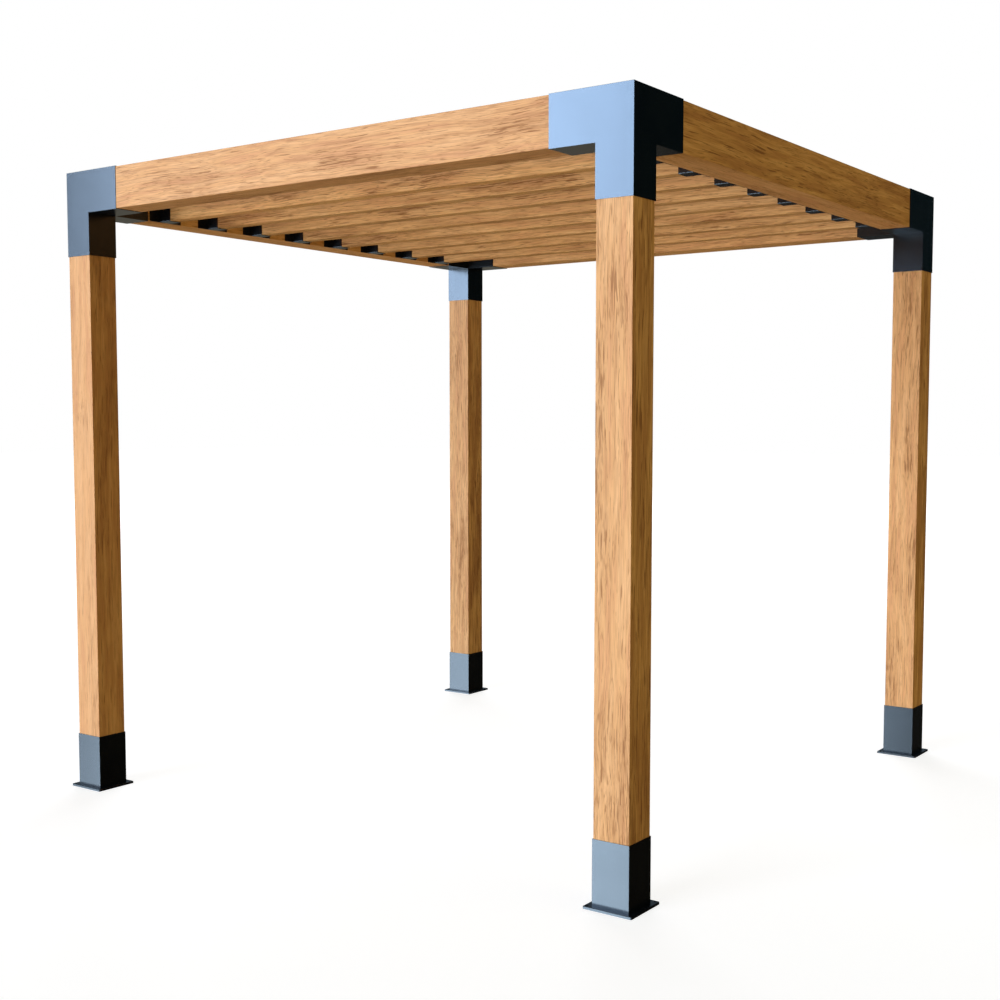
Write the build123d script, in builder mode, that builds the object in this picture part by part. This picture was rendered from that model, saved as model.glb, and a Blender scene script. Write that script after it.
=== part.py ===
import os

from build123d import *

os.makedirs("parts", exist_ok=True)

# Overall layout, in millimetres
post_spacing_x = 2732.0  # between post centres along the front
post_spacing_y = 2732.0  # between post centres from front to back
overall_height = 2732.0  # ground to the top of the corner brackets

# Timber
post_width = 140.0
beam_width = 140.0
beam_depth = 176.0
rafter_width = 60.0
rafter_depth = 170.0
rafter_count = 8
timber_ease = 2.0  # radius of the eased long edges

# Sheet steel
sheet = 2.5
slip = 0.3  # room between timber and steel on each side
sheet_ease = 1.0  # radius of the dressed outer edges

# Post bases
base_height = 239.0
flange_thickness = 9.0
flange_overhang = 23.0
flange_corner = 3.0  # snipped off each corner of the plate
anchor_diameter = 11.0

# Corner brackets
arm_reach = 183.0  # each sleeve past the corner where the three meet

# Rafter hangers
hanger_height = 140.0
hanger_reach = 70.0
hanger_ear = 58.0
hanger_margin = 11.4  # between a bracket arm and the first hanger
fold_radius = 1.5  # inside radius of the folded pocket

# Section sizes of the sleeves
wrap = slip + sheet
leg_outside = post_width + 2 * wrap
arm_outside = beam_width + 2 * wrap
arm_end = leg_outside + arm_reach
flange_width = leg_outside + 2 * flange_overhang
anchor_spacing = leg_outside + flange_overhang
pocket_width = rafter_width + 2 * slip
hanger_width = pocket_width + 2 * sheet + 2 * hanger_ear

# Faces of the timber frame, measured from its middle
outer_x = post_spacing_x / 2 + post_width / 2
outer_y = post_spacing_y / 2 + post_width / 2
inner_x = outer_x - beam_width
inner_y = outer_y - beam_width

# Heights above the ground
post_bottom = flange_thickness
post_top = overall_height - sheet
beam_top = post_top - slip
beam_bottom = beam_top - beam_depth
arm_bottom = beam_bottom - sheet
leg_bottom = arm_bottom - arm_reach
rafter_bottom = beam_bottom + sheet

# The outermost hangers stand clear of the bracket arms, and the rafters share the run between them
rafter_run = 2 * (outer_y + wrap - arm_end - hanger_margin) - hanger_width
rafter_pitch = rafter_run / (rafter_count - 1)

corners = {
    "front_left": (-1, -1),
    "front_right": (1, -1),
    "back_right": (1, 1),
    "back_left": (-1, 1),
}


def write(piece, name):
    piece.part.label = name
    export_step(piece.part, f"parts/{name}.step")


def make_post(corner, side_x, side_y):
    foot = Plane((side_x * post_spacing_x / 2, side_y * post_spacing_y / 2, post_bottom))
    with BuildPart() as post:
        with BuildSketch(foot):
            Rectangle(post_width, post_width)
        extrude(amount=post_top - post_bottom)
        fillet(post.edges().filter_by(Axis.Z), radius=timber_ease)
    write(post, f"post_{corner}")


def make_post_base(corner, side_x, side_y):
    ground = Plane((side_x * post_spacing_x / 2, side_y * post_spacing_y / 2, 0))
    with BuildPart() as post_base:
        with BuildSketch(ground):
            Rectangle(flange_width, flange_width)
        extrude(amount=flange_thickness)
        chamfer(post_base.edges().filter_by(Axis.Z), length=flange_corner)
        chamfer(post_base.faces().sort_by(Axis.Z)[-1].edges(), length=sheet_ease)
        with BuildSketch(ground.offset(flange_thickness)):
            RectangleRounded(leg_outside, leg_outside, radius=sheet_ease)
            Rectangle(leg_outside - 2 * sheet, leg_outside - 2 * sheet, mode=Mode.SUBTRACT)
        extrude(amount=base_height - flange_thickness)
        with Locations(ground.offset(flange_thickness)):
            with GridLocations(anchor_spacing, anchor_spacing, 2, 2):
                Hole(radius=anchor_diameter / 2, depth=flange_thickness)
    write(post_base, f"post_base_{corner}")


def make_corner_bracket(corner, side_x, side_y):
    # The plan is drawn from the outside corner of the bracket, running inwards
    outside = Vector(side_x * (outer_x + wrap), side_y * (outer_y + wrap))

    def inward(run_x, run_y):
        return (outside.X - side_x * run_x, outside.Y - side_y * run_y)

    plan = [
        inward(0, 0),
        inward(arm_end, 0),
        inward(arm_end, arm_outside),
        inward(arm_outside, arm_outside),
        inward(arm_outside, arm_end),
        inward(0, arm_end),
    ]
    with BuildPart() as bracket:
        with BuildSketch(Plane.XY.offset(arm_bottom)):
            with BuildLine():
                Polyline(*plan, close=True)
            make_face()
        extrude(amount=overall_height - arm_bottom)
        with BuildSketch(Plane.XY.offset(leg_bottom)):
            with Locations(inward(leg_outside / 2, leg_outside / 2)):
                Rectangle(leg_outside, leg_outside)
        extrude(amount=overall_height - leg_bottom)
        mouth_x = bracket.faces().sort_by(Axis.X)[-1 if side_x < 0 else 0]
        mouth_y = bracket.faces().sort_by(Axis.Y)[-1 if side_y < 0 else 0]
        mouth_z = bracket.faces().sort_by(Axis.Z)[0]
        offset(amount=-sheet, openings=[mouth_x, mouth_y, mouth_z], kind=Kind.INTERSECTION)
        arris = bracket.edges().filter_by(Axis.Z).sort_by_distance((outside.X, outside.Y, leg_bottom))[0]
        fillet([arris, *bracket.faces().sort_by(Axis.Z)[-1].edges()], radius=sheet_ease)
    write(bracket, f"corner_bracket_{corner}")


def make_beam(name, start, run, length):
    section = Plane(start, x_dir=(run.Y, run.X, 0), z_dir=run)
    with BuildPart() as beam:
        with BuildSketch(section):
            Rectangle(beam_width, beam_depth)
        extrude(amount=length)
        fillet(beam.edges().filter_by(Axis((0, 0, 0), run)), radius=timber_ease)
    write(beam, name)


def make_rafter(number, place_y):
    length = 2 * (inner_x - wrap)
    middle = rafter_bottom + rafter_depth / 2
    section = Plane((-length / 2, place_y, middle), x_dir=(0, 1, 0), z_dir=(1, 0, 0))
    with BuildPart() as rafter:
        with BuildSketch(section):
            Rectangle(rafter_width, rafter_depth)
        extrude(amount=length)
        fillet(rafter.edges().filter_by(Axis.X), radius=timber_ease)
    write(rafter, f"rafter_{number}")


def make_hanger(name, side_x, place_y):
    # A folded pocket welded to a back plate whose ears lie on the beam
    back = Plane((side_x * inner_x, place_y, beam_bottom), x_dir=(0, -side_x, 0), z_dir=(-side_x, 0, 0))
    with BuildPart() as hanger:
        with BuildSketch(back):
            with Locations((0, hanger_height / 2)):
                Rectangle(hanger_width, hanger_height)
        extrude(amount=sheet)
        with BuildSketch(back.offset(sheet)):
            with BuildLine():
                FilletPolyline(
                    (-pocket_width / 2, hanger_height),
                    (-pocket_width / 2, sheet),
                    (pocket_width / 2, sheet),
                    (pocket_width / 2, hanger_height),
                    radius=fold_radius,
                )
                offset(amount=sheet, side=Side.RIGHT)
            make_face()
        extrude(amount=hanger_reach - sheet)
    write(hanger, name)


for corner, (side_x, side_y) in corners.items():
    make_post(corner, side_x, side_y)
    make_post_base(corner, side_x, side_y)
    make_corner_bracket(corner, side_x, side_y)

# Beams butt against the posts inside the bracket sleeves
# Side beams wider than the posts stop at the front and back beams instead
beam_middle = beam_bottom + beam_depth / 2
across = post_spacing_x - post_width - 2 * slip
along = 2 * (min(inner_y, post_spacing_y / 2 - post_width / 2) - slip)
row_x = outer_x - beam_width / 2
row_y = outer_y - beam_width / 2
make_beam("beam_front", (-across / 2, -row_y, beam_middle), Vector(1, 0, 0), across)
make_beam("beam_back", (-across / 2, row_y, beam_middle), Vector(1, 0, 0), across)
make_beam("beam_left", (-row_x, -along / 2, beam_middle), Vector(0, 1, 0), along)
make_beam("beam_right", (row_x, -along / 2, beam_middle), Vector(0, 1, 0), along)

for index in range(rafter_count):
    number = index + 1
    place_y = index * rafter_pitch - rafter_run / 2
    make_rafter(number, place_y)
    make_hanger(f"hanger_left_{number}", -1, place_y)
    make_hanger(f"hanger_right_{number}", 1, place_y)
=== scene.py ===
import math

import bpy
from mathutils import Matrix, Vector


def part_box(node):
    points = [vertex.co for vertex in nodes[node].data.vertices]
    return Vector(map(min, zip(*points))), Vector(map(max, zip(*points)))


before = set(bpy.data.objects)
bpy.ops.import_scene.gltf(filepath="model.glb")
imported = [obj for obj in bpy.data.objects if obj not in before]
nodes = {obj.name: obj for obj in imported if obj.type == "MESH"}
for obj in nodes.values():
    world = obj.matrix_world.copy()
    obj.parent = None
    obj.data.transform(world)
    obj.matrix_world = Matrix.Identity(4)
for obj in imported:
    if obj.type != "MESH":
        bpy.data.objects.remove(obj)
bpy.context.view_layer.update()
print("frame loaded:", len(nodes), "nodes")


# node tree helpers: a value that is a socket is linked, anything else is typed into the input
def addNode(tree, kind, inputs=None, **settings):
    node = tree.nodes.new("ShaderNode" + kind)
    for key, value in settings.items():
        setattr(node, key, value)
    for key, value in (inputs or {}).items():
        if isinstance(value, bpy.types.NodeSocket):
            tree.links.new(value, node.inputs[key])
        else:
            node.inputs[key].default_value = value
    return node


def vectorSum(tree, operation, first, second):
    return addNode(tree, "VectorMath", {0: first, 1: second}, operation=operation).outputs[0]


def numberSum(tree, operation, first, second):
    return addNode(tree, "Math", {0: first, 1: second}, operation=operation).outputs[0]


def mixColour(tree, share, first, second, blend="MIX"):
    mixed = addNode(tree, "Mix", {0: share, 6: first, 7: second}, data_type="RGBA", blend_type=blend)
    return mixed.outputs[2]


def fade(tree, value, start, end, low=0.0, high=1.0):
    inputs = {"Value": value, "From Min": start, "From Max": end, "To Min": low, "To Max": high}
    return addNode(tree, "MapRange", inputs, interpolation_type="SMOOTHSTEP").outputs[0]


def newMaterial(name):
    material = bpy.data.materials.new(name)
    material.use_nodes = True
    tree = material.node_tree
    return material, tree, tree.nodes["Principled BSDF"]


# planed and oiled softwood, lengths in metres
# a grain is its size across the piece, its size along it and the detail of its noise
# an edge is where a mark begins to show in its noise and where it shows in full
timberLook = {
    "plain": (0.79, 0.450, 0.206, 1),
    "honey": (0.83, 0.490, 0.238, 1),
    "rose": (0.745, 0.398, 0.188, 1),
    "heart": (0.42, 0.197, 0.078, 1),
    "resin": (0.23, 0.094, 0.036, 1),
    "seedStep": 7.31,
    "wander": 0.040,
    "wanderGrain": (0.30, 0.50, 2),
    "toneGrain": (0.026, 0.36, 2),
    "plainEdge": (0.38, 0.50),
    "roseEdge": (0.52, 0.64),
    "zoneGrain": (0.085, 0.55, 3),
    "zoneEdge": (0.47, 0.66),
    "zoneShare": 0.26,
    # sideZone and the side shade edge and share darken the faces along X with bolder zones and clouds:
    # painted shade mixed with figure
    "sideZone": 2.1,
    "cloudEdge": (0.40, 0.62),
    "cloudShare": 0.46,
    "streakGrain": (0.012, 0.30, 3),
    "streakEdge": (0.50, 0.66),
    "streakShare": 0.34,
    "fleckGrain": (0.0052, 0.125, 1),
    "fleckEdge": (0.645, 0.75),
    "fleckShare": 0.64,
    "tickGrain": (0.0034, 0.038, 1),
    "tickEdge": (0.645, 0.75),
    "tickShare": 0.42,
    "coarseGrain": (0.0074, 0.17, 1),
    "coarseEdge": (0.63, 0.71),
    "coarseShare": 0.95,
    "fibreGrain": (0.0028, 0.12, 2),
    "fibreEdge": (0.40, 0.62),
    "fibreShare": 0.36,
    "crowding": 0.11,
    "fraying": 0.40,
    "roughness": (0.60, 0.74),
    "gloss": 0.12,
    "reliefDepth": 0.0006,
    "reliefStrength": 0.35,
}
noiseMiddle = 0.5

# each timber has its own strength of figure and a colour multiplier, or else those of its kind; rafter_1's
# multiplier is painted light
castLook = {
    "post_front_left": {"figure": 0.58, "tintAndPaintedLight": (0.92, 0.915, 0.93, 1)},
    "post_front_right": {"figure": 0.98, "tintAndPaintedLight": (1.00, 1.03, 1.06, 1)},
    "post_back_left": {"figure": 1.30, "tintAndPaintedLight": (0.94, 0.99, 1.03, 1)},
    "post_back_right": {"figure": 1.05, "tintAndPaintedLight": (1.05, 1.08, 1.11, 1)},
    "beam": {"figure": 0.85, "tintAndPaintedLight": (1.03, 1.04, 1.04, 1)},
    "beam_front": {"figure": 1.10, "tintAndPaintedLight": (0.95, 0.95, 0.96, 1)},
    "beam_back": {"figure": 1.40, "tintAndPaintedLight": (1.07, 1.14, 1.13, 1)},
    "rafter": {"figure": 1.45, "tintAndPaintedLight": (1.03, 1.11, 1.07, 1)},
    # rafter_1 is lifted well above the other rafters: painted light for the light that reaches it from
    # below the front beam
    "rafter_1": {"figure": 1.45, "tintAndPaintedLight": (1.20, 1.30, 1.26, 1)},
}


def makeTimber(name, low, high, seed, figure, tintAndPaintedLight, look):
    material, tree, shader = newMaterial(name)
    size = high - low
    along = max(range(3), key=lambda axis: size[axis])
    across = [axis for axis in range(3) if axis != along]

    # the grain space: two axes across the piece from its middle, the third along it
    coords = addNode(tree, "TexCoord").outputs
    centred = vectorSum(tree, "SUBTRACT", coords["Object"], (low + high) / 2)
    parts = addNode(tree, "SeparateXYZ", {0: centred}).outputs
    turned = addNode(tree, "CombineXYZ", {0: parts[across[0]], 1: parts[across[1]], 2: parts[along]})
    sawn = vectorSum(tree, "ADD", turned.outputs[0], (0, 0, seed * look["seedStep"]))

    def noise(vector, grain, output=0):
        wide, long, detail = grain
        stretched = vectorSum(tree, "DIVIDE", vector, (wide, wide, long))
        inputs = {"Vector": stretched, "Scale": 1.0, "Detail": detail}
        return addNode(tree, "TexNoise", inputs).outputs[output]

    # the grain wanders a little along the piece, by one channel of a coloured noise for each axis
    stray = vectorSum(tree, "SUBTRACT", noise(sawn, look["wanderGrain"], output=1), (noiseMiddle,) * 3)
    drift = vectorSum(tree, "MULTIPLY", stray, (look["wander"], look["wander"], 0))
    grain = vectorSum(tree, "ADD", sawn, drift)

    def weigh(mask, weight):
        return numberSum(tree, "MULTIPLY", mask, weight)

    def stain(tone, mask, share, colour):
        return mixColour(tree, weigh(mask, share * figure), tone, colour)

    def marks(kind, lift):
        lifted = numberSum(tree, "ADD", noise(grain, look[kind + "Grain"]), lift)
        return fade(tree, lifted, *look[kind + "Edge"])

    # the faces that point along X get bolder zones, coarser flecks and darker clouds, which darken them
    # overall: painted shade on those sides along with stronger figure
    facing = addNode(tree, "SeparateXYZ", {0: coords["Normal"]}).outputs[0]
    xSideFigureAndShade = numberSum(tree, "ABSOLUTE", facing, 0.0)
    boldness = fade(tree, xSideFigureAndShade, 0.0, 1.0, 1.0, look["sideZone"])

    band = noise(grain, look["toneGrain"])
    tone = mixColour(tree, fade(tree, band, *look["plainEdge"]), look["honey"], look["plain"])
    tone = mixColour(tree, fade(tree, band, *look["roseEdge"]), tone, look["rose"])

    # darker heartwood zones and streaks, and on the faces along X clouds of heartwood tone that paint
    # shade there
    zone = fade(tree, noise(grain, look["zoneGrain"]), *look["zoneEdge"])
    tone = stain(tone, weigh(zone, boldness), look["zoneShare"], look["heart"])
    cloud = fade(tree, band, *look["cloudEdge"])
    tone = stain(tone, weigh(cloud, xSideFigureAndShade), look["cloudShare"], look["heart"])
    streak = fade(tree, noise(grain, look["streakGrain"]), *look["streakEdge"])
    tone = stain(tone, streak, look["streakShare"], look["heart"])

    # resin flecks and ticks crowd together in the zones, and the fibre frays their edges
    fibre = noise(grain, look["fibreGrain"])
    fray = weigh(numberSum(tree, "SUBTRACT", fibre, noiseMiddle), look["fraying"])
    lift = numberSum(tree, "ADD", weigh(zone, look["crowding"]), fray)
    fleck = marks("fleck", lift)
    tone = stain(tone, fleck, look["fleckShare"], look["resin"])
    tick = marks("tick", lift)
    tone = stain(tone, tick, look["tickShare"], look["resin"])
    tone = stain(tone, weigh(marks("coarse", fray), xSideFigureAndShade), look["coarseShare"], look["resin"])
    tone = stain(tone, fade(tree, fibre, *look["fibreEdge"]), look["fibreShare"], look["heart"])
    # the piece's colour multiplier, which for rafter_1 paints light on it
    tone = mixColour(tree, 1.0, tone, tintAndPaintedLight, "MULTIPLY")

    # flecks and ticks are a little rougher and lie lower than the wood around them
    hollows = numberSum(tree, "MAXIMUM", fleck, tick)
    height = numberSum(tree, "SUBTRACT", fibre, hollows)
    relief = {"Height": height, "Strength": look["reliefStrength"], "Distance": look["reliefDepth"]}
    tree.links.new(tone, shader.inputs["Base Color"])
    tree.links.new(fade(tree, hollows, 0.0, 1.0, *look["roughness"]), shader.inputs["Roughness"])
    tree.links.new(addNode(tree, "Bump", relief).outputs[0], shader.inputs["Normal"])
    shader.inputs["Specular IOR Level"].default_value = look["gloss"]
    return material


# satin powder coat over sheet steel, a noise is its size in metres and its detail
coatLook = {
    "black": (0.0025, 0.0035, 0.0055, 1),
    "bloom": (0.0040, 0.0055, 0.0080, 1),
    "bloomEdge": (0.35, 0.65),
    "cloudNoise": (0.11, 4.0),
    "peelNoise": (0.0022, 2.0),
    "peelDepth": 0.00006,
    "peelStrength": 0.25,
    "roughness": (0.235, 0.250),
    "roughEdge": (0.3, 0.7),
    "gloss": 0.5,
}


def makeCoat(name, look):
    material, tree, shader = newMaterial(name)
    spot = addNode(tree, "TexCoord").outputs["Object"]

    def noise(size, detail):
        return addNode(tree, "TexNoise", {"Vector": spot, "Scale": 1 / size, "Detail": detail}).outputs[0]

    cloud = noise(*look["cloudNoise"])
    peel = noise(*look["peelNoise"])
    tone = mixColour(tree, fade(tree, cloud, *look["bloomEdge"]), look["black"], look["bloom"])
    rough = fade(tree, cloud, *look["roughEdge"], *look["roughness"])
    relief = {"Height": peel, "Strength": look["peelStrength"], "Distance": look["peelDepth"]}
    tree.links.new(tone, shader.inputs["Base Color"])
    tree.links.new(rough, shader.inputs["Roughness"])
    tree.links.new(addNode(tree, "Bump", relief).outputs[0], shader.inputs["Normal"])
    shader.inputs["Specular IOR Level"].default_value = look["gloss"]
    return material


timberKinds = ("post_", "beam_", "rafter_")
timberNames = sorted(name for name in nodes if name.startswith(timberKinds) and "base" not in name)
for seed, name in enumerate(timberNames, 1):
    own = castLook[name] if name in castLook else castLook[name.split("_")[0]]
    wood = makeTimber(name + "_wood", *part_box(name), seed, own["figure"], own["tintAndPaintedLight"], timberLook)
    nodes[name].material_slots[0].material = wood
coat = makeCoat("powder_coat", coatLook)
for name in sorted(set(nodes) - set(timberNames)):
    nodes[name].material_slots[0].material = coat
print("finishes:", len(timberNames), "timbers,", len(nodes) - len(timberNames), "steel pieces")


# studio: lamps are placed by their bearing from the front (towards the left), height angle and distance
studioMiddle = Vector((0, 0, 1.4))
lamps = {
    "keySoftbox": {"bearing": 12, "rise": 0, "distance": 30, "size": (16.0, 30.0), "radiance": 7.1,
                   "colour": (0.97, 0.98, 1.0)},
    "warmFill": {"bearing": -100, "rise": 12, "distance": 24, "size": (18.0, 14.0), "radiance": 1.10,
                 "colour": (1.0, 0.785, 0.28)},
    "backFill": {"bearing": 140, "rise": 32, "distance": 24, "size": (14.0, 14.0), "radiance": 5.2,
                 "colour": (1.0, 0.95, 0.88)},
}


def fromMiddle(bearing, rise, distance):
    turn, lift = math.radians(bearing), math.radians(rise)
    level = math.cos(lift)
    way = Vector((-math.sin(turn) * level, -math.cos(turn) * level, math.sin(lift)))
    return studioMiddle + way * distance


def placeLamp(name, look):
    lamp = bpy.data.lights.new(name, "AREA")
    lamp.shape = "RECTANGLE"
    lamp.size, lamp.size_y = look["size"]
    lamp.energy = look["radiance"] * math.pi * lamp.size * lamp.size_y
    lamp.color = look["colour"]
    holder = bpy.data.objects.new(name, lamp)
    holder.location = fromMiddle(look["bearing"], look["rise"], look["distance"])
    holder.rotation_euler = (studioMiddle - holder.location).to_track_quat("-Z", "Y").to_euler()
    holder.visible_camera = False
    holder.visible_glossy = False
    bpy.context.scene.collection.objects.link(holder)


for name, look in lamps.items():
    placeLamp(name, look)
print("lamps:", ", ".join(lamps))

# curved boards that only show in reflections, in degrees as the lamps are
# bright ones give the front its sheen, and dim ones close the ring behind
skyBlue = (0.6, 0.8, 1.0, 1)
boards = {
    "highNearBoard": {"bearings": (20.4, 38), "rises": (4, 32), "level": 24.5,
                      "colour": (0.452, 0.668, 1.0, 1)},
    "highFarBoard": {"bearings": (38, 48.6), "rises": (0, 32), "level": 19.5,
                     "colour": (0.515, 0.715, 1.0, 1)},
    "lowNearBoard": {"bearings": (20.5, 38), "rises": (-29, -7), "level": 16.2,
                     "colour": (0.585, 0.787, 1.0, 1)},
    "lowFarBoard": {"bearings": (38, 50.6), "rises": (-24, -7), "level": 12.4,
                    "colour": (0.602, 0.792, 1.0, 1)},
    "rightDimBoard": {"bearings": (-95, 4), "rises": (-60, 60), "level": 0.30, "colour": skyBlue},
    "slotBoard": {"bearings": (4, 20), "rises": (-60, 60), "level": 0.05, "colour": skyBlue},
    "leftDimBoard": {"bearings": (50.6, 95), "rises": (-60, 60), "level": 0.45, "colour": skyBlue},
    "leftRearBoard": {"bearings": (95, 174), "rises": (0, 60), "level": 0.22, "colour": skyBlue},
    "rearBoard": {"bearings": (174, 188), "rises": (-60, 60), "level": 0.80, "colour": skyBlue},
    "darkBoard": {"bearings": (188, 265), "rises": (0, 60), "level": 0.025, "colour": (0.3, 0.8, 1.0, 1)},
    "duskBoard": {"bearings": (95, 151), "rises": (-60, 0), "level": 0.20, "colour": (1.0, 0.93, 0.72, 1)},
    "nightBoard": {"bearings": (151, 174), "rises": (-60, 0), "level": 0.03, "colour": (1.0, 0.9, 0.7, 1)},
    "warmBoard": {"bearings": (188, 265), "rises": (-60, 0), "level": 0.02, "colour": (1.0, 0.8, 0.6, 1)},
}
boardDistance = 20.0
boardSteps = 12


def standBoard(name, look):
    first, last = look["bearings"]
    bottom, top = (math.tan(math.radians(rise)) * boardDistance for rise in look["rises"])
    corners = []
    for step in range(boardSteps + 1):
        foot = fromMiddle(first + (last - first) * step / boardSteps, 0, boardDistance)
        corners += [foot + Vector((0, 0, bottom)), foot + Vector((0, 0, top))]
    faces = [(2 * step, 2 * step + 2, 2 * step + 3, 2 * step + 1) for step in range(boardSteps)]
    mesh = bpy.data.meshes.new(name)
    mesh.from_pydata(corners, [], faces)
    board = bpy.data.objects.new(name, mesh)
    bpy.context.scene.collection.objects.link(board)
    paint, tree, shader = newMaterial(name + "_paint")
    shader.inputs["Base Color"].default_value = (0, 0, 0, 1)
    shader.inputs["Specular IOR Level"].default_value = 0.0
    shader.inputs["Emission Color"].default_value = look["colour"]
    shader.inputs["Emission Strength"].default_value = look["level"]
    mesh.materials.append(paint)
    board.visible_camera = False
    board.visible_diffuse = False
    board.visible_shadow = False


for name, look in boards.items():
    standBoard(name, look)
print("boards:", ", ".join(boards))


# white surroundings for camera, mirror and clear rays, dimmer and warmer for the light they shed
surroundLook = {
    "white": (1, 1, 1, 1),
    "ambient": (1.0, 0.92, 0.55, 1),
    "ambientLevel": 0.16,
    "floorColour": (0.42, 0.45, 0.53, 1),
    "floorBounce": (0.46, 0.33, 0.11, 1),
    "floorGlow": (0.79, 1.0),
    "glowReach": (3.0, 8.0),
    "floorReach": 60.0,
}


def seenRays(tree):
    rays = addNode(tree, "LightPath").outputs
    mirror = numberSum(tree, "MAXIMUM", rays["Is Glossy Ray"], rays["Is Transmission Ray"])
    return numberSum(tree, "MAXIMUM", rays["Is Camera Ray"], mirror)


world = bpy.data.worlds.new("studioWorld")
bpy.context.scene.world = world
world.use_nodes = True
tree = world.node_tree
background = tree.nodes["Background"]
ambient = tuple(part * surroundLook["ambientLevel"] for part in surroundLook["ambient"][:3]) + (1,)
tree.links.new(mixColour(tree, seenRays(tree), ambient, surroundLook["white"]), background.inputs["Color"])

reach = surroundLook["floorReach"]
floorCorners = [(-reach, -reach, 0), (reach, -reach, 0), (reach, reach, 0), (-reach, reach, 0)]
floorMesh = bpy.data.meshes.new("floor")
floorMesh.from_pydata(floorCorners, [], [(0, 1, 2, 3)])
floor = bpy.data.objects.new("floor", floorMesh)
bpy.context.scene.collection.objects.link(floor)
floorPaint, tree, shader = newMaterial("floor_paint")
seen = seenRays(tree)
floorTone = mixColour(tree, seen, surroundLook["floorBounce"], surroundLook["floorColour"])
tree.links.new(floorTone, shader.inputs["Base Color"])
shader.inputs["Roughness"].default_value = 1.0
shader.inputs["Specular IOR Level"].default_value = 0.0
shader.inputs["Emission Color"].default_value = surroundLook["white"]
floorSpot = addNode(tree, "TexCoord").outputs["Object"]
outward = addNode(tree, "VectorMath", {0: floorSpot}, operation="LENGTH").outputs["Value"]
glow = fade(tree, outward, *surroundLook["glowReach"], *surroundLook["floorGlow"])
tree.links.new(numberSum(tree, "MULTIPLY", seen, glow), shader.inputs["Emission Strength"])
floorMesh.materials.append(floorPaint)
floor.visible_shadow = False  # the softbox reaches below floor level
floor.visible_glossy = False  # the white world stands in for it
print("surroundings: floor and world")


# eye-level view of the front and right sides, with turn and tilt in degrees from level
viewLook = {
    "place": (3.73137, -5.35257, 1.64350),
    "turn": 35.781,
    "tilt": -4.076,
    "lens": 50,
    "sensor": 36,
    "shiftUp": 0.0207,
}
levelTilt = 90  # a camera looks straight down until it is tipped up by this

camera = bpy.data.cameras.new("photoCamera")
camera.lens = viewLook["lens"]
camera.sensor_width = viewLook["sensor"]
camera.shift_y = viewLook["shiftUp"]
viewer = bpy.data.objects.new("photoCamera", camera)
viewer.location = viewLook["place"]
viewer.rotation_euler = (math.radians(levelTilt + viewLook["tilt"]), 0, math.radians(viewLook["turn"]))
bpy.context.scene.collection.objects.link(viewer)
bpy.context.scene.camera = viewer
bpy.context.scene.view_settings.view_transform = "Standard"
print("camera set")
